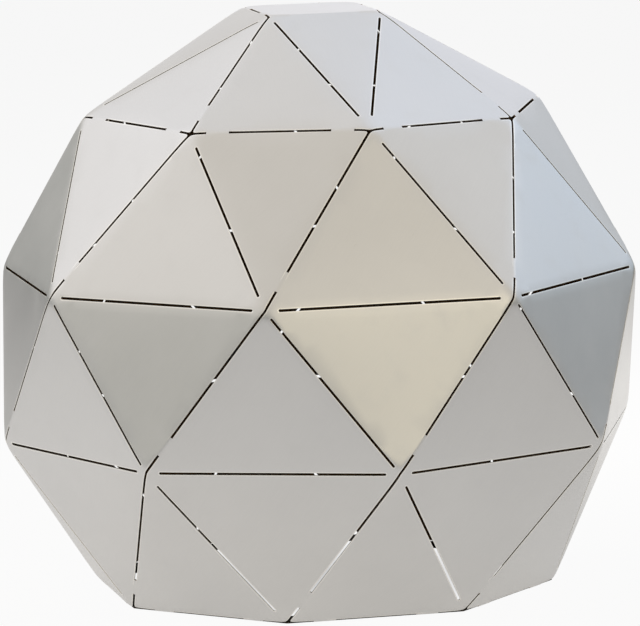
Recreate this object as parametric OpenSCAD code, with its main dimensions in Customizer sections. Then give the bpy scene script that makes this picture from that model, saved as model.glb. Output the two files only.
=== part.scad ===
// Closed-panel dome climber in folded stainless steel sheet.
//
// Eight helical body sheets and four cap sheets are laser-cut flat, folded along slotted lines and
// stitched together edge to edge. They stand on an eight-sided ring of base flanges.
// Frame: +Z up, origin at the centre of the base, on the ground. The front is -Y.

/* [Rings of corners] */
// Distance from the centre to the middle of each side of the foot, on the ground
foot_flat = 604; // [520:1:720]
// Corner radius of the lower waist ring
low_r = 905; // [800:1:1086]
// Corner radius of the upper waist ring
high_r = 900; // [800:1:1080]
// Corner radius of the shoulder ring, at the corners in the middle of a cap sheet
shoulder_r = 655; // [560:1:780]
// How much further in the shoulder corners under the crown's corners sit
shoulder_inset = 15; // [0:1:25]
// Corner radius of the square crown
crown_r = 225; // [180:1:300]

/* [Heights of the bands] */
// Height from the foot ring to the lower waist
foot_h = 444; // [370:1:533]
// Height from the lower waist to the upper waist
waist_h = 449; // [374:1:540]
// Height from the upper waist to the shoulder
shoulder_h = 451; // [375:1:541]
// How much lower the inset shoulder corners sit
shoulder_dip = 10; // [0:1:20]
// Height from the shoulder to the crown
crown_h = 271; // [225:1:326]

/* [Sheet] */
// Thickness of the folded sheets
sheet_t = 3; // [2:0.5:4]
// Width of the fold slots and of the seams between sheets
slot_w = 7; // [5:0.5:8]
// Solid sheet left at each end of a slot on the two waist folds
waist_margin = 39; // [30:1:50]
// Solid sheet left at each end of a slot on the folds between shoulder and upper waist
upper_margin = 48; // [35:1:60]
// Solid sheet left at each end of a slot on the folds between the two waists
middle_margin = 26; // [20:1:40]
// Solid sheet left at each end of a slot on the folds between lower waist and foot
lower_margin = 50; // [35:1:60]
// Solid sheet left at the crown end of a slot in a cap sheet
crown_margin = 33; // [25:1:45]
// Solid sheet left at the shoulder end of a slot in a cap sheet
shoulder_margin = 66; // [50:1:80]

/* [Seams] */
// Length of the bridge inserts that stitch the sheets together
bridge_l = 61; // [45:1:75]
// Distance from a bridge on a body seam to the seam's lower corner
body_bridge_end = 65; // [50:1:80]
// Distance from a bridge on the shoulder seam to the nearer corner
shoulder_bridge_end = 46; // [35:1:60]
// Distance from a bridge on a cap seam to its shoulder corner
cap_bridge_end = 54; // [40:1:70]
// Distance from a bridge on the crown's edge to the nearer corner
crown_bridge_end = 40; // [30:1:50]
// Distance from a bridge on the foot seam to the nearer corner
foot_bridge_end = 76; // [65:1:90]
// Thickness of the folded backing plates behind the bridges
backing_t = 3; // [2:0.5:5]
// How far a backing plate stops short of its bridge at each end
backing_inset = 3; // [0:1:15]
// Width of a backing plate on each side of its seam
backing_side = 25; // [18:1:30]

/* [Base] */
// Thickness of the base flanges
flange_t = 5; // [4:0.5:8]
// Width of the base flanges, from the foot line inwards
flange_w = 80; // [65:1:100]
// Distance of the anchor holes from the foot line
anchor_inset = 42; // [32:1:50]
// Radius of the anchor holes, for M12 anchors
anchor_hole_r = 7; // [6:0.1:8.5]
// Thickness of the gussets
gusset_t = 6; // [4:0.5:8]
// Height that the gussets reach up the sheet
gusset_h = 80; // [55:1:100]
// Distance from a gusset's foot to the inner edge of its flange
gusset_setback = 18; // [10:1:25]
// Height of a gusset at its foot
gusset_toe = 12; // [8:1:16]
// Size of the corner that is cut off each gusset to clear the seam
gusset_clip = 20; // [15:1:24]

/* [Hidden] */
sides = 8;
cap_sheets = sides / 2;
step = 360 / sides;
foot_r = foot_flat / cos(step / 2);
low_z = foot_h;
high_z = low_z + waist_h;
shoulder_z = high_z + shoulder_h;
crown_z = shoulder_z + crown_h;
inside = [0, 0, crown_z / 2];
base_centre = [0, 0, 0];
crown_centre = [0, 0, crown_z];
// How far the lowest facets lean outwards from the vertical
foot_lean = atan((low_r - foot_flat) / low_z);
// How far cuts reach out of and into the dome from an edge
cut_out = 30;
cut_in = 60;
// How far a hole's cutter passes both faces of a flange
hole_past = 1;
round_fn = 48;
steel = "#c9c8c4";
dull = "#8f8f8c";

cap_names = ["front", "right", "back", "left"];
function sheet_name(k) = str("body_sheet_", k + 1);
function cap_name(m) = str("cap_sheet_", cap_names[m]);
function flange_name(k) = str("base_flange_", k + 1);

// ---- Corners of the dome ----

// A point at radius r, height z and an angle from the front towards the right
function corner(r, z, angle) = [r * sin(angle), -r * cos(angle), z];
function foot(k) = corner(foot_r, 0, (k + 0.5) * step);
function low(k) = corner(low_r, low_z, k * step);
function high(k) = corner(high_r, high_z, (k + 0.5) * step);
function inset(k) = k % 2 == 0 ? 0 : 1;
function shoulder(k) =
    corner(shoulder_r - inset(k) * shoulder_inset, shoulder_z - inset(k) * shoulder_dip, k * step);
function crown(m) = corner(crown_r, crown_z, (2 * m + 1) * step);

// ---- Edges: [start, end, third corner of one facet, third corner of the other] ----

function upper_fold(k) = [shoulder(k), high(k), shoulder(k + 1), high(k - 1)];
function high_fold(k) = [high(k - 1), high(k), shoulder(k), low(k)];
function middle_fold(k) = [high(k - 1), low(k), high(k), low(k - 1)];
function low_fold(k) = [low(k - 1), low(k), high(k - 1), foot(k - 1)];
function lower_fold(k) = [low(k - 1), foot(k - 1), low(k), foot(k - 2)];
function upper_seam(k) = [shoulder(k), high(k - 1), high(k), shoulder(k - 1)];
function middle_seam(k) = [high(k - 1), low(k - 1), low(k), high(k - 2)];
function lower_seam(k) = [low(k - 1), foot(k - 2), foot(k - 1), low(k - 2)];
function shoulder_seam(k) = [shoulder(k), shoulder(k + 1), high(k), crown(floor(k / 2))];
function foot_seam(k) = [foot(k - 1), foot(k), low(k), base_centre];
function near_cap_fold(m) = [crown(m - 1), shoulder(2 * m), shoulder(2 * m - 1), crown(m)];
function far_cap_fold(m) = [crown(m), shoulder(2 * m), crown(m - 1), shoulder(2 * m + 1)];
function cap_seam(m) = [crown(m), shoulder(2 * m + 1), shoulder(2 * m), shoulder(2 * m + 2)];
function crown_edge(m) = [crown(m - 1), crown(m), shoulder(2 * m), crown_centre];

function edge_length(e) = norm(e[1] - e[0]);
function unit(v) = v / norm(v);
function outward(a, b, c) = let (n = unit(cross(b - a, c - a))) n * (a - inside) < 0 ? -n : n;
function edge_normal(e) = unit(outward(e[0], e[1], e[2]) + outward(e[0], e[1], e[3]));
// Half of the angle that the sheet is bent through at the edge
function half_bend(e) = acos(edge_normal(e) * outward(e[0], e[1], e[2]));

// ---- Building blocks ----

// Places its children in a frame with the given X and Z directions and origin
module placed(x, z, origin) {
    y = cross(z, x);
    multmatrix([
        [x[0], y[0], z[0], origin[0]],
        [x[1], y[1], z[1], origin[1]],
        [x[2], y[2], z[2], origin[2]],
        [0, 0, 0, 1]
    ]) children();
}

// Places its children in an edge's own frame: X along the edge, Z out of the dome, origin at a
// distance from the edge's start
module at_edge(e, distance = 0) {
    x = unit(e[1] - e[0]);
    placed(x, edge_normal(e), e[0] + x * distance) children();
}

// A triangular plate whose outer face has the three corners
module facet(a, b, c) {
    x = unit(b - a);
    z = outward(a, b, c);
    placed(x, z, a - z * sheet_t) linear_extrude(sheet_t)
        polygon([[0, 0], [norm(b - a), 0], [(c - a) * x, (c - a) * cross(z, x)]]);
}

// The square plate on top of the crown
module crown_plate() {
    translate([0, 0, crown_z - sheet_t]) linear_extrude(sheet_t)
        polygon([for (m = [0 : cap_sheets - 1]) [crown(m)[0], crown(m)[1]]]);
}

// A round-ended cut along an edge, from one distance to another
module slot_cut(e, from, to) {
    at_edge(e) translate([0, 0, -cut_in]) {
        translate([from, -slot_w / 2, 0]) cube([to - from, slot_w, cut_in + cut_out]);
        for (x = [from, to])
            translate([x, 0, 0]) cylinder(h = cut_in + cut_out, r = slot_w / 2, $fn = round_fn);
    }
}

// The slot of a fold, which leaves solid sheet at both ends
module fold_slot(e, start_margin, end_margin) {
    slot_cut(e, start_margin + slot_w / 2, edge_length(e) - end_margin - slot_w / 2);
}

// The open seam between two sheets, from corner to corner
module seam_cut(e) {
    slot_cut(e, 0, edge_length(e));
}

// A folded strip of the given thickness and half width, laid along an edge under the outer faces
module folded_strip(e, centre, l, half_w, t, depth) {
    lean = tan(half_bend(e));
    slant = 1 / cos(half_bend(e));
    top = -depth * slant;
    under = -(depth + t) * slant;
    at_edge(e, centre - l / 2) rotate([90, 0, 90]) linear_extrude(l) polygon([
        [-half_w, top - half_w * lean], [-half_w, under - half_w * lean],
        [0, under],
        [half_w, under - half_w * lean], [half_w, top - half_w * lean],
        [0, top]
    ]);
}

module bridge(e, centre) {
    folded_strip(e, centre, bridge_l, slot_w / 2, sheet_t, 0);
}

module backing(e, centre) {
    folded_strip(e, centre, bridge_l - 2 * backing_inset, backing_side, backing_t, sheet_t);
}

// Where bridges have their middles, as distances from the start of a seam: one near its end, or a
// pair near both ends
function before_end(e, end) = edge_length(e) - end - bridge_l / 2;
function pair_at(e, end) = [end + bridge_l / 2, before_end(e, end)];

// ---- Sheets ----

// One helical body sheet of six facets, from the shoulder down to the foot
module body_sheet(k) {
    color(steel) difference() {
        union() {
            facet(shoulder(k), shoulder(k + 1), high(k));
            facet(shoulder(k), high(k - 1), high(k));
            facet(high(k - 1), high(k), low(k));
            facet(high(k - 1), low(k - 1), low(k));
            facet(low(k - 1), low(k), foot(k - 1));
            facet(low(k - 1), foot(k - 2), foot(k - 1));
        }
        fold_slot(upper_fold(k), upper_margin, upper_margin);
        fold_slot(high_fold(k), waist_margin, waist_margin);
        fold_slot(middle_fold(k), middle_margin, middle_margin);
        fold_slot(low_fold(k), waist_margin, waist_margin);
        fold_slot(lower_fold(k), lower_margin, lower_margin);
        for (side = [k, k + 1]) {
            seam_cut(upper_seam(side));
            seam_cut(middle_seam(side));
            seam_cut(lower_seam(side));
        }
        seam_cut(shoulder_seam(k));
        seam_cut(foot_seam(k - 1));
    }
}

// One cap sheet of three facets. The front one also carries the square crown, bent over its top edge.
module cap_sheet(m) {
    color(steel) difference() {
        union() {
            facet(crown(m - 1), shoulder(2 * m - 1), shoulder(2 * m));
            facet(crown(m - 1), crown(m), shoulder(2 * m));
            facet(crown(m), shoulder(2 * m), shoulder(2 * m + 1));
            if (m == 0) crown_plate();
        }
        fold_slot(near_cap_fold(m), crown_margin, shoulder_margin);
        fold_slot(far_cap_fold(m), crown_margin, shoulder_margin);
        for (side = [m - 1, m]) seam_cut(cap_seam(side));
        for (side = [2 * m - 1, 2 * m]) seam_cut(shoulder_seam(side));
        for (side = m == 0 ? [1, 2, 3] : [m]) seam_cut(crown_edge(side));
    }
}

// ---- Bridges and backings ----

module body_seam_bridges() {
    color(steel) for (k = [0 : sides - 1], e = [upper_seam(k), middle_seam(k), lower_seam(k)])
        bridge(e, before_end(e, body_bridge_end));
}

module shoulder_seam_bridges() {
    color(steel) for (k = [0 : sides - 1])
        for (x = pair_at(shoulder_seam(k), shoulder_bridge_end)) bridge(shoulder_seam(k), x);
}

module cap_seam_bridges() {
    color(steel) for (m = [0 : cap_sheets - 1])
        bridge(cap_seam(m), before_end(cap_seam(m), cap_bridge_end));
}

module crown_edge_bridges() {
    color(steel) for (m = [1 : cap_sheets - 1])
        for (x = pair_at(crown_edge(m), crown_bridge_end)) bridge(crown_edge(m), x);
}

module foot_seam_bridges() {
    color(steel) for (k = [0 : sides - 1])
        for (x = pair_at(foot_seam(k), foot_bridge_end)) bridge(foot_seam(k), x);
}

module body_seam_backings() {
    color(dull) for (k = [0 : sides - 1], e = [upper_seam(k), middle_seam(k), lower_seam(k)])
        backing(e, before_end(e, body_bridge_end));
}

module shoulder_seam_backings() {
    color(dull) for (k = [0 : sides - 1])
        for (x = pair_at(shoulder_seam(k), shoulder_bridge_end)) backing(shoulder_seam(k), x);
}

module cap_seam_backings() {
    color(dull) for (m = [0 : cap_sheets - 1])
        backing(cap_seam(m), before_end(cap_seam(m), cap_bridge_end));
}

module crown_edge_backings() {
    color(dull) for (m = [1 : cap_sheets - 1])
        for (x = pair_at(crown_edge(m), crown_bridge_end)) backing(crown_edge(m), x);
}

// ---- Base ----

// Puts its children at side k: X along the foot line from its middle, Y inwards
module at_side(k) {
    rotate(k * step) translate([0, -foot_flat, 0]) children();
}

// One mitred length of flat bar, welded to its neighbours and stitched to the sheet above it
module base_flange(k) {
    outer = foot_flat * tan(step / 2);
    inner = (foot_flat - flange_w) * tan(step / 2);
    color(dull) difference() {
        at_side(k) linear_extrude(flange_t)
            polygon([[-outer, 0], [outer, 0], [inner, flange_w], [-inner, flange_w]]);
        seam_cut(foot_seam(k));
        at_side(k) translate([0, anchor_inset, -hole_past])
            cylinder(h = flange_t + 2 * hole_past, r = anchor_hole_r, $fn = round_fn);
    }
}

// How far inwards from the foot line the inner face of the sheet lies at a height
function inner_face(z) = sheet_t / cos(foot_lean) - z * tan(foot_lean);

// A plate that stands on the flange and follows the leaning sheet, centred on X = 0
module gusset() {
    foot = flange_w - gusset_setback;
    bottom = flange_t + gusset_clip;
    translate([-gusset_t / 2, 0, 0]) rotate([90, 0, 90]) linear_extrude(gusset_t) polygon([
        [gusset_clip, flange_t],
        [foot, flange_t],
        [foot, flange_t + gusset_toe],
        [inner_face(gusset_h), gusset_h],
        [inner_face(bottom), bottom]
    ]);
}

// Two gussets on each side, hidden behind the bridges of the foot seam
module base_gussets() {
    offset_x = edge_length(foot_seam(0)) / 2 - foot_bridge_end - bridge_l / 2;
    color(dull) for (k = [0 : sides - 1], x = [-offset_x, offset_x])
        at_side(k) translate([x, 0, 0]) gusset();
}

for (k = [0 : sides - 1]) {
    body_sheet(k);
    base_flange(k);
}
for (m = [0 : cap_sheets - 1])
    cap_sheet(m);
body_seam_bridges();
shoulder_seam_bridges();
cap_seam_bridges();
crown_edge_bridges();
foot_seam_bridges();
body_seam_backings();
shoulder_seam_backings();
cap_seam_backings();
crown_edge_backings();
base_gussets();
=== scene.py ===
"""The looks of the folded-sheet dome climber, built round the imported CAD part.

Each sheet's outer skin is read from its CAD node, bent softly near the dome's corners, bowed a little,
and given its thickness back. The bridges between the sheets are finished the same way. The plates
inside keep their CAD shape and only get a finish.
Lengths are metres, in the CAD part's frame: +Z up, the front on -Y.
"""
import math
import random

import bmesh
import bpy
import numpy as np
from mathutils import Matrix, Vector
from mathutils.geometry import delaunay_2d_cdt
from mathutils.kdtree import KDTree


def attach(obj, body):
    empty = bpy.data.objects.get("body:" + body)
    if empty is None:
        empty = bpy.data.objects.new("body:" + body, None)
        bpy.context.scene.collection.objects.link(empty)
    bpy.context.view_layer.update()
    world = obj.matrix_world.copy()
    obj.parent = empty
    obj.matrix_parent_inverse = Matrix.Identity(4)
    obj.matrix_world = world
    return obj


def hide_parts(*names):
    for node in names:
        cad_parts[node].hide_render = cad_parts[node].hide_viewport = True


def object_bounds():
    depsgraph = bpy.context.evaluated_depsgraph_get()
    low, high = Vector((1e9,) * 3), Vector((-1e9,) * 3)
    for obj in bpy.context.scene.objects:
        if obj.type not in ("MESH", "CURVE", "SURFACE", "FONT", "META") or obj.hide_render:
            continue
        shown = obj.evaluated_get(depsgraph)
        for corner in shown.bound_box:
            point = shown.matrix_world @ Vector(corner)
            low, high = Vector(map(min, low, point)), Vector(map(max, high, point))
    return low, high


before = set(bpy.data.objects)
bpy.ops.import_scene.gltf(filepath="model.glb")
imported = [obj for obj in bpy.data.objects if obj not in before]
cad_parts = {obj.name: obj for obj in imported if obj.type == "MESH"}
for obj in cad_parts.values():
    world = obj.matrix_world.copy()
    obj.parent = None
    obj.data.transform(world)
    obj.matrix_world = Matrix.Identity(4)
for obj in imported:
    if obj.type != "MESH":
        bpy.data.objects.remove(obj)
cad_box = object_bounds()
random.seed(11)

# ---- Sizes ----

SHEET_T = 0.003         # thickness of the sheets and bridges
HALF_SLOT = 0.0035      # half the width of the slots and seams
FLAT_FACE = 0.01        # a facet is a face larger than this, in square metres
CREASE_ANGLE = 0.4      # faces that meet at less than this many degrees are one face
FACET_FIT = 5e-5        # how far a face may lie off the plane of its facet
SAME_WAY = 0.99         # the least cosine between its normal and the facet's
REACH = 4.0             # half the side of a square that is sure to cover a facet
OBLIQUE = (0.31, 0.52, 0.80)    # a direction that no facet faces
CLIP_SLACK = 1e-6       # how far the neighbours' planes are let out before they clip a facet
CORNER_MERGE = 0.004    # corners of a facet closer than this are one corner

WELD_STEP = 1e-5        # vertices of a CAD solid closer than this are one vertex
SEAM_WELD = 0.0004      # corners of neighbouring facets closer than this are one corner
POINT_MERGE = 0.0008    # points of a finished skin closer than this are one point

CORNER_BLEND = 0.0034   # how softly the facets flow together at a corner of the dome
FOLD_BLEND = 0.0007     # the same along the rest of a bend
CORNER_REACH = 0.085    # how far from a corner the soft bends reach
PANEL_BOW = 0.0022      # how far the middle of a facet may stand proud
SOFTEN_PASSES = 2
TURN_REACH = 0.026      # how far from a corner of the dome the cut edges turn smoothly
TURN_PASSES = 8
TURN_PULL = 0.5         # how far a point may move to the middle of its neighbours in one pass
TURN_RISE = 1.5         # how steeply that pull rises towards the corner
LEVEL_FACET = 0.9       # a facet whose normal rises more than this is level and stays flat
LEVEL_LEAN = 0.1        # a plane that leans less than this, as a sine, is level

FINE_STEP = 0.007       # mesh step near the corners
RIM_STEP = 0.0035       # step along the cut edges there
COARSE_STEP = 0.035     # mesh step elsewhere
EDGE_CLEARANCE = 0.6    # how far the inner points keep off the cut edges, in mesh steps
OPPOSED = 0.5           # two inward directions with a shorter sum than this give none
FILL_INSIDE = 1         # tells the triangulation to keep only the triangles inside the outline
FILL_WELD = 1e-7        # and to join points closer than this

EDGE_BAND = 0.0036      # width of the dressed band along a cut edge, lighter in tone as a painted highlight
EDGE_DROP = 0.00028     # how far that band falls away towards the edge
EDGE_ROUND = 0.00055    # rounding of the cut edges
BRIDGE_ROUND = EDGE_ROUND / 4   # rounding of the bridges' edges
PLATE_ROUND = 0.0008    # rounding of the plates inside
BRIDGE_LAP = 0.0009     # how far the dressed weld of a bridge laps onto the sheets beside it
ROUND_FROM = 50         # edges sharper than this many degrees are rounded
SMOOTH_TO = 20          # and those sharper than this are shaded as edges

# ---- Camera, floor and light ----

CAMERA_AZIMUTH = -13.51
CAMERA_ELEVATION = 8.27
CAMERA_ROLL = 1.26
CAMERA_DISTANCE = 15.894
CAMERA_SIDE = 0.0063    # how far the camera stands to the right of the line through the waist
CAMERA_LIFT = -0.135    # and above it
CAMERA_LENS = 318.9     # in millimetres, as is the sensor
SENSOR_WIDTH = 36
WAIST_Z = 0.893

FLOOR_HALF = 90.0
FLOOR_GAP = 0.0005      # how far the floor lies under the dome's foot
FLOOR_SHADE = (0.12, 0.50)      # how pale the floor is far away, and in the pool of light: a painted pool of light in its tone
FLOOR_GLOW = (0.15, 0.38)       # how much it glows there, a painted pool of light
POOL_MIDDLE = (-1.2, 1.0, 0)    # the middle of the widest pool of light
POOL_SPREAD = 0.6               # the power of the distance that it fades with
POOL_FADE = (1.0, 5.0)          # and that power where it starts to fade, and where it ends
SIDE_POOL = (1.8, 2.4, 0)       # the middle of a second pool
SIDE_POOL_FADE = (0.7, 2.6)     # the distances between which it fades
SIDE_POOL_GLOW = 0.40
FOOT_POOL_FADE = (0.65, 1.15)   # the same for a pool round the foot
FOOT_POOL_GLOW = 0.07
UNDER_DOME = (0.48, 0.60)       # the distances between which the glow fades in, outwards: painted shade on the floor under the dome
INSIDE_FADE = (0.10, 0.60, 0.66, 1.0)   # two distances, and the share of white in view there: painted shade on the floor inside the dome
SEEN_WHITE = 0.93       # how much of the backdrop that the eye sees is plain white
PAPER_WHITE = (0.98, 0.98, 0.98)
WARM_WHITE = (1, 0.98, 0.95)

SKY_LIGHT = (0.69, 0.65, 0.58)
HORIZON_LIGHT = (0.20, 0.22, 0.20)
BAND_TOP = 0.42         # the sine of the height at which the dark band round the horizon ends
BAND_CURVE = 0.5        # the power of that sine that the band clears with
# Azimuth (from the front, to the right) and height of each soft light, how tightly it gathers, colour
SOFT_LIGHTS = [
    (22, 13, 40, (0.83, 0.73, 0.51)),
    (-76, 8, 40, (0.055, 0.06, 0.05)),
    (-110, 38, 6, (0.33, 0.34, 0.38)),
    (-155, 42, 8, (0.20, 0.23, 0.30)),
    (126, 55, 8, (0.18, 0.26, 0.41)),
    (115, 20, 16, (0.17, 0.30, 0.49)),
    (150, 20, 40, (0.15, 0.18, 0.27)),
    (165, 1, 30, (0.80, 0.82, 0.96)),
    (98, 28, 150, (0.42, 0.46, 0.54)),
]

# ---- Finish ----

# The noises in the steel's finish: features per metre along and across the grain, detail, turn
WIDE_GRAIN = (5, 260, 4, 0)
FINE_GRAIN = (22, 1700, 3, 0)
CLOUDS = (3.1, 3.6, 4, 0)
SMUDGES = (14, 11, 5, 0.6)
SCRATCHES = [(5, 420, 1, 0.9), (7, 360, 1, 2.1)]
NOISE_ROUGHNESS = 0.55

GRAIN_SPAN = (0.25, 0.75)       # the part of each noise's range that shows in the gloss
CLOUD_SPAN = (0.3, 0.7)
SMUDGE_SPAN = (0.54, 0.74)
TONE_SPAN = (0.3, 0.7)          # and in the tone
SCRATCH_SPANS = [(0.74, 0.78), (0.75, 0.79)]

WIDE_GLOSS = 0.02       # how far the grains and clouds move the roughness either way
FINE_GLOSS = 0.025
CLOUD_GLOSS = 0.025
SMUDGE_GLOSS = 0.05     # how much rougher a smudge is, and a scratch
SCRATCH_GLOSS = 0.06
EDGE_GLOSS = -0.08      # and how much smoother a dressed edge
CLOUD_TONE = (0.15, 0.55)       # how far clouds and grains take the tone from dark to light
WIDE_TONE = 0.15
FINE_TONE = 0.3
WIDE_RELIEF = 1.0       # how deep the grains and scratches are, against each other
FINE_RELIEF = 0.7
SCRATCH_RELIEF = -0.8
RELIEF_HEIGHT = 0.0001
RELIEF_STRENGTH = 0.3
# the lighter tone of a dressed cut edge: partly real polish, partly a painted highlight
DRESSED_EDGE_AND_HIGHLIGHT = (0.99, 0.97, 0.93)
EDGE_CURVE = 0.5        # the power that the dressed band and its painted highlight fade with

# ---- Names ----

FLAT_PATTERN = "flat_pattern"
CUT_EDGE = "cut_edge"

BODY_SHEETS = [f"body_sheet_{k}" for k in range(1, 9)]
CAP_SHEETS = [f"cap_sheet_{side}" for side in ("front", "right", "back", "left")]
BASE_FLANGES = [f"base_flange_{k}" for k in range(1, 9)]
BRIDGES = ["body_seam_bridges", "shoulder_seam_bridges", "cap_seam_bridges", "crown_edge_bridges",
           "foot_seam_bridges"]
BACKINGS = ["body_seam_backings", "shoulder_seam_backings", "cap_seam_backings",
            "crown_edge_backings"]


# ---- Reading the CAD solids ----

def plain_solid(node):
    """The node's CAD mesh with its flat faces joined up again."""
    bm = bmesh.new()
    bm.from_mesh(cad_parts[node].data)
    bmesh.ops.remove_doubles(bm, verts=bm.verts, dist=WELD_STEP)
    bmesh.ops.dissolve_limit(bm, angle_limit=math.radians(CREASE_ANGLE), verts=bm.verts, edges=bm.edges)
    bm.normal_update()
    return bm


def facet_planes():
    """Unit normals and offsets of every facet of the dome, and of the ground that it stands on."""
    normals, offsets = [(0, 0, -1)], [0.0]
    middle = (cad_box[0] + cad_box[1]) / 2
    for node in BODY_SHEETS + CAP_SHEETS:
        bm = plain_solid(node)
        for face in bm.faces:
            centre = face.calc_center_median()
            if face.calc_area() > FLAT_FACE and face.normal.dot(centre - middle) > 0:
                normals.append(tuple(face.normal))
                offsets.append(face.normal.dot(centre))
        bm.free()
    return np.array(normals), np.array(offsets)


def clipped(polygon, normal, offset):
    """The part of a polygon that lies below a plane."""
    heights = [p @ normal - offset for p in polygon]
    out = []
    for p, q, a, b in zip(polygon, polygon[1:] + polygon[:1], heights, heights[1:] + heights[:1]):
        if a <= 0:
            out.append(p)
        if (a < 0 < b) or (b < 0 < a):
            out.append(p + (q - p) * (a / (a - b)))
    return out


def facet_corners(normals, offsets):
    """Each facet's corners, where its plane meets its neighbours'."""
    corners = []
    for i, (normal, offset) in enumerate(zip(normals, offsets)):
        side = np.cross(normal, OBLIQUE)
        side /= np.linalg.norm(side)
        across = np.cross(normal, side)
        polygon = [normal * offset + REACH * (side * x + across * y)
                   for x, y in ((1, 1), (-1, 1), (-1, -1), (1, -1))]
        for j in range(len(normals)):
            if j != i:
                polygon = clipped(polygon, normals[j], offsets[j] + CLIP_SLACK)
        own = []
        for p in polygon:
            if all(np.linalg.norm(p - q) > CORNER_MERGE for q in own):
                own.append(p)
        corners.append(np.array(own))
    return corners


NORMALS, OFFSETS = facet_planes()
FACET_CORNERS = facet_corners(NORMALS, OFFSETS)
ALL_CORNERS = np.concatenate(FACET_CORNERS)


# ---- The soft bends ----

def corner_distance(points):
    """How far each point is from the nearest corner of the dome."""
    return np.linalg.norm(points[:, None] - ALL_CORNERS[None], axis=2).min(axis=1)


def eased(x):
    """0 to 1 with a soft start and end."""
    x = np.clip(x, 0, 1)
    return x * x * (3 - 2 * x)


def softened(points):
    """Points of the sharp skin, moved in onto a surface that flows round folds and corners."""
    near = eased(1 - corner_distance(points) / CORNER_REACH)
    blend = FOLD_BLEND + (CORNER_BLEND - FOLD_BLEND) * near
    moved = points.copy()
    for _ in range(SOFTEN_PASSES):
        heights = (moved @ NORMALS.T - OFFSETS) / blend[:, None]
        peak = heights.max(axis=1)
        weights = np.exp(heights - peak[:, None])
        total = weights.sum(axis=1)
        level = blend * (peak + np.log(total))
        slope = weights @ NORMALS / total[:, None]
        moved -= slope * (level / (slope ** 2).sum(axis=1))[:, None]
    return moved


def facet_sides(corners, normal):
    """The start and the inward direction of each side of a facet."""
    starts, inwards = [], []
    for a, b in zip(corners, np.roll(corners, -1, axis=0)):
        inward = np.cross(normal, b - a)
        inward /= np.linalg.norm(inward)
        starts.append(a)
        inwards.append(inward if inward @ (corners.mean(axis=0) - a) > 0 else -inward)
    return np.array(starts), np.array(inwards)


FACET_SIDES = [facet_sides(corners, normal) for corners, normal in zip(FACET_CORNERS, NORMALS)]


def side_distances(points, facet):
    """How far each point lies inside each side of its facet."""
    starts, inwards = FACET_SIDES[facet]
    return points @ inwards.T - (starts * inwards).sum(axis=1)


def bow_share(points, facet):
    """0 at the sides of a facet, rising smoothly to 1 in its middle."""
    depth = np.clip(side_distances(points, facet), 0, None)
    centre = side_distances(FACET_CORNERS[facet].mean(axis=0)[None], facet)
    return np.prod(depth / centre, axis=1)


# ---- Sheets and bridges ----

def facet_of(face):
    """The facet whose plane a face of a solid lies on, or None."""
    points = np.array([v.co for v in face.verts])
    off_plane = np.abs(points @ NORMALS.T - OFFSETS).max(axis=0)
    facet = int(off_plane.argmin())
    if off_plane[facet] < FACET_FIT and face.normal.dot(Vector(NORMALS[facet])) > SAME_WAY:
        return facet
    return None


def outer_skin(node):
    """The outer faces of a node, one for each facet that it covers, joined along the bends."""
    bm = plain_solid(node)
    mark = bm.faces.layers.int.new("facet")
    hidden = []
    for face in bm.faces:
        facet = facet_of(face)
        if facet is None:
            hidden.append(face)
        else:
            face[mark] = facet
    bmesh.ops.delete(bm, geom=hidden, context="FACES")
    bmesh.ops.remove_doubles(bm, verts=bm.verts, dist=SEAM_WELD)
    return bm


def stops_along(start, end, coarse):
    """Where to put vertices along an edge, close together near the dome's corners."""
    count = max(1, round((end - start).length / RIM_STEP))
    steps = np.arange(1, count)
    spots = np.array(start) + np.outer(steps / count, np.array(end - start))
    if not len(spots):
        return []
    near = corner_distance(spots) < CORNER_REACH
    every = max(1, round(coarse / RIM_STEP))
    return (steps / count)[near | (steps % every == 0)]


def refine_edges(bm, coarse):
    """Splits every edge at its stops."""
    for edge in list(bm.edges):
        vert, last = edge.verts
        rest, done = edge, 0.0
        for stop in stops_along(vert.co, last.co, coarse):
            _, vert = bmesh.utils.edge_split(rest, vert, (stop - done) / (1 - done))
            rest = next(e for e in vert.link_edges if last in e.verts)
            done = stop


def turn_smoothly(bm):
    """Lets the cut edges turn in a smooth curve where they pass a corner of the dome."""
    bm.verts.ensure_lookup_table()
    rim = [v for v in bm.verts if sum(e.is_boundary for e in v.link_edges) == 2]
    distance = corner_distance(np.array([v.co for v in rim]))
    pulls = TURN_PULL * eased(TURN_RISE * (1 - distance / TURN_REACH))
    turning = [(v, pull) for v, pull in zip(rim, pulls) if pull > 0]
    for _ in range(TURN_PASSES):
        moved = []
        for vert, pull in turning:
            beside = [e.other_vert(vert).co for e in vert.link_edges if e.is_boundary]
            moved.append(vert.co.lerp((beside[0] + beside[1]) / 2, pull))
        for (vert, _), spot in zip(turning, moved):
            vert.co = spot


def inward_steps(face):
    """For each vertex on a cut edge of a face, the direction that leads straight in."""
    steps = {}
    for loop in face.loops:
        if loop.edge.is_boundary:
            ahead = loop.link_loop_next.vert
            inward = face.normal.cross(ahead.co - loop.vert.co).normalized()
            for vert in (loop.vert, ahead):
                steps[vert] = steps.get(vert, Vector()) + inward
    return {vert: step.normalized() for vert, step in steps.items() if step.length > OPPOSED}


def hex_grid(low, high, step):
    """Points in a hexagonal grid over a rectangle."""
    rows = []
    for j, y in enumerate(np.arange(low[1], high[1], step * math.sqrt(3) / 2)):
        x = np.arange(low[0] + (j % 2) * step / 2, high[0], step)
        rows.append(np.stack([x, np.full_like(x, y)], axis=1))
    return np.concatenate(rows)


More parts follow.
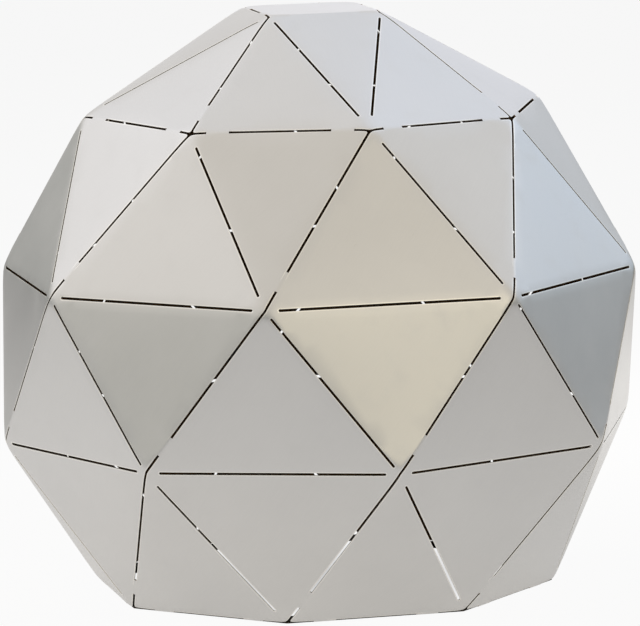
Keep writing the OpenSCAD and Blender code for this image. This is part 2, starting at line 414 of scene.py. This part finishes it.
def inside_points(facet, to_plane, from_plane):
    """Points to fill a facet with, in the plane: a coarse grid, and a fine one near its corners."""
    outline = to_plane(FACET_CORNERS[facet])
    low, high = outline.min(axis=0), outline.max(axis=0)
    kept = []
    for step, fine in ((COARSE_STEP, False), (FINE_STEP, True)):
        flat = hex_grid(low, high, step)
        spots = from_plane(flat)
        clear = side_distances(spots, facet).min(axis=1) > HALF_SLOT + EDGE_CLEARANCE * step
        near = corner_distance(spots) < CORNER_REACH
        kept.append(flat[clear & (near if fine else ~near)])
    return np.concatenate(kept)


def directions_in(normal):
    """Two directions in a plane, square to each other: level and up, or X and Y where it is level."""
    level = np.cross((0, 0, 1), normal)
    lean = np.linalg.norm(level)
    level = level / lean if lean > LEVEL_LEAN else np.array((1.0, 0, 0))
    return level, np.cross(normal, level)


def level_frame(normal):
    """The matrix that turns a plane's own level and upright directions to X and Y."""
    return Matrix((*directions_in(normal), normal)).to_4x4()


def unfolded(bm):
    """For each face, the matrix that lays it flat, beside the others of its sheet."""
    lay = {}
    for seed in bm.faces:
        if seed in lay:
            continue
        lay[seed] = level_frame(seed.normal)
        waiting = [seed]
        while waiting:
            face = waiting.pop()
            for edge in face.edges:
                for other in edge.link_faces:
                    if other not in lay:
                        turn = other.normal.rotation_difference(face.normal).to_matrix().to_4x4()
                        hinge = Matrix.Translation(edge.verts[0].co)
                        lay[other] = lay[face] @ hinge @ turn @ hinge.inverted()
                        waiting.append(other)
    return lay


def plane_frame(facet):
    """Functions that take points to and from a facet's own plane."""
    origin, basis = FACET_CORNERS[facet][0], np.array(directions_in(NORMALS[facet]))
    return (lambda points: (points - origin) @ basis.T), (lambda flat: origin + flat @ basis)


def along_grain(patterns):
    """Flat-pattern points turned so that the blank's long side, and so its grain, lies along X."""
    centred = patterns - patterns.mean(axis=0)
    _, _, axes = np.linalg.svd(centred, full_matrices=False)
    return centred @ axes.T


def bridge_rims():
    """A search tree of points along the edges of every bridge."""
    spots = []
    for node in BRIDGES:
        bm = outer_skin(node)
        for edge in bm.edges:
            if edge.is_boundary:
                a, b = (v.co for v in edge.verts)
                count = max(1, round((b - a).length / RIM_STEP))
                spots += [a.lerp(b, i / count) for i in range(count + 1)]
        bm.free()
    tree = KDTree(len(spots))
    for i, spot in enumerate(spots):
        tree.insert(spot, i)
    tree.balance()
    return tree


BRIDGE_RIMS = bridge_rims()


def filled(face, facet, rim, is_bridge):
    """Fills a facet with triangles inside its rim.

    Returns the points, the triangles as numbers of points, and each point's place on the rim or None.
    A bridge is small enough to get no points inside.
    """
    to_plane, from_plane = plane_frame(facet)
    flat = [to_plane(np.array(rim))]
    if not is_bridge:
        band = [vert.co + step * EDGE_BAND for vert, step in inward_steps(face).items()]
        flat += [to_plane(np.array(band)), inside_points(facet, to_plane, from_plane)]
    points, _, triangles, origins, _, _ = delaunay_2d_cdt(
        [Vector(p) for p in np.concatenate(flat)], [], [list(range(len(rim)))], FILL_INSIDE, FILL_WELD)
    places = [next((i for i in origin if i < len(rim)), None) for origin in origins]
    return from_plane(np.array(points)), triangles, places


def skin_points(bm, is_bridge):
    """The whole skin in triangles.

    Returns its points, how far each is lifted off its facet, whether each is on a dressed cut edge
    (which carries a painted highlight), the triangles, and the flat pattern's points at their corners.
    """
    mark = bm.faces.layers.int["facet"]
    lay = unfolded(bm)
    spots = [np.array(v.co) for v in bm.verts]
    cut = [v.is_boundary and not is_bridge and BRIDGE_RIMS.find(v.co)[2] > RIM_STEP for v in bm.verts]
    lifts = [np.zeros(3) for _ in bm.verts]
    triangles, patterns = [], []
    for face in bm.faces:
        facet = face[mark]
        normal = NORMALS[facet]
        if is_bridge:
            for vert, step in inward_steps(face).items():
                spots[vert.index] = np.array(vert.co - step * BRIDGE_LAP)
        rim = [v.index for v in face.verts]
        points, inner, places = filled(face, facet, [spots[i] for i in rim], is_bridge)
        shares = bow_share(points, facet)
        bow = random.uniform(0.5, 1) * (0 if is_bridge or normal[2] > LEVEL_FACET else PANEL_BOW)
        index = {}
        for k in sorted({k for triangle in inner for k in triangle}):
            if places[k] is not None:
                index[k] = rim[places[k]]
                lifts[index[k]] = -normal * (EDGE_DROP if cut[index[k]] else 0)
            else:
                index[k] = len(spots)
                spots.append(points[k])
                cut.append(False)
                lifts.append(normal * bow * shares[k])
        for triangle in inner:
            ids = [index[k] for k in triangle]
            a, b, c = (Vector(spots[i]) for i in ids)
            if (b - a).cross(c - a).dot(face.normal) < 0:
                ids.reverse()
            triangles.append(ids)
            patterns += [(lay[face] @ Vector(spots[i])).xy[:] for i in ids]
    return np.array(spots), np.array(lifts), cut, triangles, np.array(patterns)


def skin_mesh(node, is_bridge):
    """A sheet's or bridge's outer skin: refined, softened and bowed, with its flat pattern as UVs."""
    bm = outer_skin(node)
    refine_edges(bm, FINE_STEP if is_bridge else COARSE_STEP)
    if not is_bridge:
        turn_smoothly(bm)
    bm.verts.index_update()
    spots, lifts, cut, triangles, patterns = skin_points(bm, is_bridge)
    bm.free()
    mesh = bpy.data.meshes.new(node + "_skin")
    mesh.from_pydata((softened(spots) + lifts).tolist(), [], triangles)
    if not is_bridge:
        patterns = along_grain(patterns)
    uvs = mesh.uv_layers.new(name=FLAT_PATTERN)
    uvs.data.foreach_set("uv", patterns.astype(np.float32).ravel())
    band = mesh.attributes.new(CUT_EDGE, "FLOAT", "POINT")
    band.data.foreach_set("value", np.array(cut, dtype=np.float32))
    return mesh


# ---- Materials ----

def add(tree, kind, **values):
    """A new node, with its properties or numbered and named inputs set."""
    node = tree.nodes.new(kind)
    for key, value in values.items():
        if hasattr(node, key):
            setattr(node, key, value)
        else:
            node.inputs[key.replace("_", " ")].default_value = value
    return node


def stretched_noise(tree, source, along, across, detail, turn):
    """Noise that runs along the blank's grain: features per metre along and across it."""
    place = add(tree, "ShaderNodeMapping")
    place.inputs["Rotation"].default_value = (0, 0, turn)
    place.inputs["Scale"].default_value = (along, across, 1)
    tree.links.new(source, place.inputs["Vector"])
    noise = add(tree, "ShaderNodeTexNoise", Scale=1.0, Detail=detail, Roughness=NOISE_ROUGHNESS)
    tree.links.new(place.outputs["Vector"], noise.inputs["Vector"])
    return noise.outputs["Fac"]


def ranged(tree, value, low, high, new_low, new_high):
    """A value taken from one range to another."""
    node = add(tree, "ShaderNodeMapRange")
    for key, number in (("From Min", low), ("From Max", high), ("To Min", new_low),
                        ("To Max", new_high)):
        node.inputs[key].default_value = number
    tree.links.new(value, node.inputs["Value"])
    return node.outputs["Result"]


def worked(tree, operation, value, number):
    """A value worked on with a number."""
    node = add(tree, "ShaderNodeMath", operation=operation)
    tree.links.new(value, node.inputs[0])
    node.inputs[1].default_value = number
    return node.outputs[0]


def combined(tree, operation, first, second):
    """Two values worked into one."""
    node = add(tree, "ShaderNodeMath", operation=operation)
    tree.links.new(first, node.inputs[0])
    tree.links.new(second, node.inputs[1])
    return node.outputs[0]


def summed(tree, *values):
    """The sum of two or more values."""
    total = values[0]
    for value in values[1:]:
        total = combined(tree, "ADD", total, value)
    return total


def blended(tree, factor, first, second):
    """A colour between two, by a factor."""
    mix = add(tree, "ShaderNodeMix", data_type="RGBA")
    tree.links.new(factor, mix.inputs["Factor"])
    for socket, colour in ((mix.inputs["A"], first), (mix.inputs["B"], second)):
        if isinstance(colour, tuple):
            socket.default_value = (*colour, 1)
        else:
            tree.links.new(colour, socket)
    return mix.outputs["Result"]


def steel(name, light, dark, roughness, grain=1.0, anisotropy=0.0, is_sheet=True):
    """Stainless steel: rolled grain, faint scratches, smudges, uneven gloss and dressed cut edges with
    a painted highlight.

    A sheet's grain follows its flat pattern. Other plates have theirs along X.
    """
    material = bpy.data.materials.new(name)
    material.use_nodes = True
    tree = material.node_tree
    shader = tree.nodes["Principled BSDF"]
    shader.inputs["Metallic"].default_value = 1.0
    if is_sheet:
        source = add(tree, "ShaderNodeUVMap", uv_map=FLAT_PATTERN).outputs["UV"]
    else:
        source = add(tree, "ShaderNodeTexCoord").outputs["Object"]
    wide_grain, fine_grain, cloud, smudge, *scratched = (
        stretched_noise(tree, source, *noise)
        for noise in (WIDE_GRAIN, FINE_GRAIN, CLOUDS, SMUDGES, *SCRATCHES))
    scratches = summed(tree, *(ranged(tree, noise, *span, 0, 1)
                               for noise, span in zip(scratched, SCRATCH_SPANS)))
    gloss = summed(
        tree,
        ranged(tree, wide_grain, *GRAIN_SPAN, roughness - WIDE_GLOSS, roughness + WIDE_GLOSS),
        ranged(tree, fine_grain, *GRAIN_SPAN, -FINE_GLOSS * grain, FINE_GLOSS * grain),
        ranged(tree, cloud, *CLOUD_SPAN, -CLOUD_GLOSS, CLOUD_GLOSS),
        ranged(tree, smudge, *SMUDGE_SPAN, 0, SMUDGE_GLOSS),
        ranged(tree, scratches, 0, 1, 0, SCRATCH_GLOSS))
    tone = summed(tree, ranged(tree, cloud, *TONE_SPAN, *CLOUD_TONE),
                  ranged(tree, wide_grain, *TONE_SPAN, 0, WIDE_TONE),
                  ranged(tree, fine_grain, *TONE_SPAN, 0, FINE_TONE * grain))
    colour = blended(tree, tone, dark, light)
    height = summed(tree, ranged(tree, fine_grain, 0, 1, 0, FINE_RELIEF * grain),
                    ranged(tree, wide_grain, 0, 1, 0, WIDE_RELIEF * grain),
                    ranged(tree, scratches, 0, 1, 0, SCRATCH_RELIEF * grain))
    if is_sheet:
        # a lighter tone along the cut edges: dressed steel, and a painted highlight
        band = add(tree, "ShaderNodeAttribute", attribute_name=CUT_EDGE).outputs["Fac"]
        edge = worked(tree, "POWER", band, EDGE_CURVE)
        colour = blended(tree, edge, colour, DRESSED_EDGE_AND_HIGHLIGHT)
        gloss = summed(tree, gloss, ranged(tree, edge, 0, 1, 0, EDGE_GLOSS))
    tree.links.new(colour, shader.inputs["Base Color"])
    tree.links.new(gloss, shader.inputs["Roughness"])
    bump = add(tree, "ShaderNodeBump", Strength=RELIEF_STRENGTH, Distance=RELIEF_HEIGHT)
    tree.links.new(height, bump.inputs["Height"])
    tree.links.new(bump.outputs["Normal"], shader.inputs["Normal"])
    if anisotropy:
        shader.inputs["Anisotropic"].default_value = anisotropy
        tangent = add(tree, "ShaderNodeTangent", direction_type="UV_MAP", uv_map=FLAT_PATTERN)
        tree.links.new(tangent.outputs["Tangent"], shader.inputs["Tangent"])
    return material


satin_steel = steel("satin_stainless", light=(0.79, 0.785, 0.778), dark=(0.71, 0.705, 0.70),
                    roughness=0.32, anisotropy=0.3)
# dark brown inside and on the cut walls: partly heat tint, partly painted shade in the slots and the
# hollow
dull_shaded_steel = steel("dull_stainless_painted_shade", light=(0.40, 0.25, 0.12), dark=(0.30, 0.19, 0.09),
                   roughness=0.5)
# the backings, darker than the sheets: a mill finish, and painted shade where they show through the
# slots
mill_shaded_steel = steel("mill_stainless_painted_shade", light=(0.36, 0.34, 0.32), dark=(0.28, 0.27, 0.26),
                   roughness=0.5, grain=1.6, is_sheet=False)
# the base ring and gussets, near-black: a painted shadow along the foot of the dome
shadow_black_steel = steel("base_painted_shadow", light=(0.10, 0.085, 0.07), dark=(0.05, 0.042, 0.036),
                    roughness=0.6, grain=1.6, is_sheet=False)


# ---- The dome ----

def applied(obj):
    """Bakes an object's modifiers into its mesh, shaded smooth with crisp cut edges."""
    mesh = bpy.data.meshes.new_from_object(obj.evaluated_get(bpy.context.evaluated_depsgraph_get()))
    obj.modifiers.clear()
    obj.data = mesh
    mesh.shade_smooth()
    mesh.set_sharp_from_angle(angle=math.radians(SMOOTH_TO))


def new_object(name, data):
    """An object that holds a mesh or a camera, in the scene."""
    obj = bpy.data.objects.new(name, data)
    bpy.context.scene.collection.objects.link(obj)
    return obj


def thick_piece(name, node, is_bridge=False):
    """A piece of sheet metal of full thickness with rounded cut edges, made from a node's skin.

    The outside is satin steel. The inside and the walls of the cuts are dull and dark brown: a heat
    tint, and painted shade that keeps the slots and the hollow dark.
    """
    obj = new_object(name, skin_mesh(node, is_bridge))
    for material in (satin_steel, dull_shaded_steel):
        obj.data.materials.append(material)
    obj.modifiers.new("joined_points", "WELD").merge_threshold = POINT_MERGE
    thick = obj.modifiers.new("thickness", "SOLIDIFY")
    thick.thickness, thick.offset, thick.use_even_offset = SHEET_T, -1, True
    thick.material_offset = thick.material_offset_rim = 1
    cut = obj.modifiers.new("cut_edges", "BEVEL")
    cut.width, cut.segments = BRIDGE_ROUND if is_bridge else EDGE_ROUND, 2
    cut.limit_method, cut.angle_limit = "ANGLE", math.radians(ROUND_FROM)
    cut.use_clamp_overlap = False
    applied(obj)
    return obj


def stand_in(name, node, is_bridge=False):
    """A finished sheet or group of bridges that takes its CAD node's place."""
    piece = thick_piece(name, node, is_bridge)
    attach(piece, "root")
    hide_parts(node)


for node in BODY_SHEETS + CAP_SHEETS:
    stand_in(node + "_folded", node)
for node in BRIDGES:
    stand_in(node + "_dressed", node, is_bridge=True)
for node in BACKINGS + BASE_FLANGES + ["base_gussets"]:
    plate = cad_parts[node]
    plate.data.materials.clear()
    # backings get the darker mill steel; the base ring and gussets get the near-black painted shadow
    plate.data.materials.append(mill_shaded_steel if node in BACKINGS else shadow_black_steel)
    plate.modifiers.new("joined_corners", "WELD").merge_threshold = WELD_STEP
    worn = plate.modifiers.new("worn_edges", "BEVEL")
    worn.width, worn.segments, worn.limit_method = PLATE_ROUND, 2, "ANGLE"


# ---- Stage, light and camera ----

def distance_from(tree, place, centre):
    """How far a place is from a fixed point."""
    distance = add(tree, "ShaderNodeVectorMath", operation="DISTANCE")
    tree.links.new(place, distance.inputs[0])
    distance.inputs[1].default_value = centre
    return distance.outputs["Value"]


def seen_share(tree):
    """How much of the plain white backdrop the eye sees instead of the lit studio."""
    return worked(tree, "MULTIPLY", add(tree, "ShaderNodeLightPath").outputs["Is Camera Ray"],
                  SEEN_WHITE)


def glowing(tree, colour):
    """A shader that gives light of one colour."""
    glow = add(tree, "ShaderNodeEmission", Strength=1.0)
    glow.inputs["Color"].default_value = (*colour, 1)
    return glow


def paint_floor(tree):
    """Paints three soft pools of light into the floor's glow and tone, with painted shade under the
    dome, and shows the eye mostly plain white.
    """
    place = add(tree, "ShaderNodeNewGeometry").outputs["Position"]
    from_dome = distance_from(tree, place, (0, 0, 0))
    spread = worked(tree, "POWER", distance_from(tree, place, POOL_MIDDLE), POOL_SPREAD)
    pool = ranged(tree, spread, *POOL_FADE, 1, 0)
    from_side = distance_from(tree, place, SIDE_POOL)
    side_pool = ranged(tree, from_side, *SIDE_POOL_FADE, SIDE_POOL_GLOW, 0)
    foot_pool = ranged(tree, from_dome, *FOOT_POOL_FADE, FOOT_POOL_GLOW, 0)
    strength = summed(tree, ranged(tree, pool, 0, 1, *FLOOR_GLOW), side_pool, foot_pool)
    # no glow under the dome: painted shade
    strength = combined(tree, "MULTIPLY", strength, ranged(tree, from_dome, *UNDER_DOME, 0, 1))
    glow, white = glowing(tree, WARM_WHITE), glowing(tree, PAPER_WHITE)
    tree.links.new(strength, glow.inputs["Strength"])

    grey = add(tree, "ShaderNodeCombineColor")
    # the floor's tone is paler in the pool: a painted pool of light
    paleness = ranged(tree, pool, 0, 1, *FLOOR_SHADE)
    for channel in ("Red", "Green", "Blue"):
        tree.links.new(paleness, grey.inputs[channel])
    shade = add(tree, "ShaderNodeBsdfDiffuse")
    tree.links.new(grey.outputs["Color"], shade.inputs["Color"])

    lit = add(tree, "ShaderNodeAddShader")
    tree.links.new(shade.outputs["BSDF"], lit.inputs[0])
    tree.links.new(glow.outputs["Emission"], lit.inputs[1])
    mix = add(tree, "ShaderNodeMixShader")
    # less white in view inside the dome: painted shade
    seen = combined(tree, "MULTIPLY", seen_share(tree), ranged(tree, from_dome, *INSIDE_FADE))
    tree.links.new(seen, mix.inputs["Fac"])
    tree.links.new(lit.outputs["Shader"], mix.inputs[1])
    tree.links.new(white.outputs["Emission"], mix.inputs[2])
    tree.links.new(mix.outputs["Shader"], tree.nodes["Material Output"].inputs["Surface"])


def pale_floor():
    """A wide pale floor with painted pools of light, brightest round the dome, like a product table lit
    from below.
    """
    mesh = bpy.data.meshes.new("floor")
    mesh.from_pydata([(FLOOR_HALF * x, FLOOR_HALF * y, 0) for x, y in
                      ((-1, -1), (1, -1), (1, 1), (-1, 1))], [], [(0, 1, 2, 3)])
    floor = new_object("floor", mesh)
    floor.location.z = -FLOOR_GAP
    material = bpy.data.materials.new("pale_floor")
    material.use_nodes = True
    paint_floor(material.node_tree)
    mesh.materials.append(material)


def soft_world():
    """A studio of broad soft lights, with a darker band round the horizon, plain white to the eye."""
    world = bpy.data.worlds.new("studio")
    bpy.context.scene.world = world
    world.use_nodes = True
    tree = world.node_tree
    way = add(tree, "ShaderNodeTexCoord").outputs["Generated"]
    apart = add(tree, "ShaderNodeSeparateXYZ")
    tree.links.new(way, apart.inputs[0])
    height = worked(tree, "ABSOLUTE", apart.outputs["Z"], 0)
    clear = ranged(tree, worked(tree, "POWER", height, BAND_CURVE), 0, BAND_TOP ** BAND_CURVE, 0, 1)
    total = blended(tree, clear, HORIZON_LIGHT, SKY_LIGHT)
    for azimuth, elevation, gather, colour in SOFT_LIGHTS:
        turn, rise = math.radians(azimuth), math.radians(elevation)
        dot = add(tree, "ShaderNodeVectorMath", operation="DOT_PRODUCT")
        tree.links.new(way, dot.inputs[0])
        dot.inputs[1].default_value = (math.sin(turn) * math.cos(rise),
                                       -math.cos(turn) * math.cos(rise), math.sin(rise))
        gathered = worked(tree, "POWER", worked(tree, "MAXIMUM", dot.outputs["Value"], 0), gather)
        lit = add(tree, "ShaderNodeVectorMath", operation="SCALE")
        lit.inputs[0].default_value = colour
        tree.links.new(gathered, lit.inputs["Scale"])
        both = add(tree, "ShaderNodeVectorMath", operation="ADD")
        tree.links.new(total, both.inputs[0])
        tree.links.new(lit.outputs["Vector"], both.inputs[1])
        total = both.outputs["Vector"]
    seen = blended(tree, seen_share(tree), total, PAPER_WHITE)
    tree.links.new(seen, tree.nodes["Background"].inputs["Color"])
    bpy.context.scene.view_settings.view_transform = "Standard"


def photo_camera():
    """The camera at the viewing angle of the photograph, far off with a long lens."""
    turn, rise, roll = (math.radians(a) for a in (CAMERA_AZIMUTH, CAMERA_ELEVATION, CAMERA_ROLL))
    right = Vector((math.cos(turn), math.sin(turn), 0))
    back = Vector((math.sin(turn) * math.cos(rise), -math.cos(turn) * math.cos(rise),
                   math.sin(rise)))
    up = back.cross(right)
    waist = Vector((0, 0, WAIST_Z))
    camera = new_object("camera", bpy.data.cameras.new("camera"))
    camera.data.lens, camera.data.sensor_width = CAMERA_LENS, SENSOR_WIDTH
    place = waist + back * CAMERA_DISTANCE + right * CAMERA_SIDE + up * CAMERA_LIFT
    level = Matrix((right, up, back)).transposed()
    tilted = level @ Matrix.Rotation(-roll, 3, "Z")
    camera.matrix_world = Matrix.Translation(place) @ tilted.to_4x4()
    bpy.context.scene.camera = camera


pale_floor()
soft_world()
photo_camera()
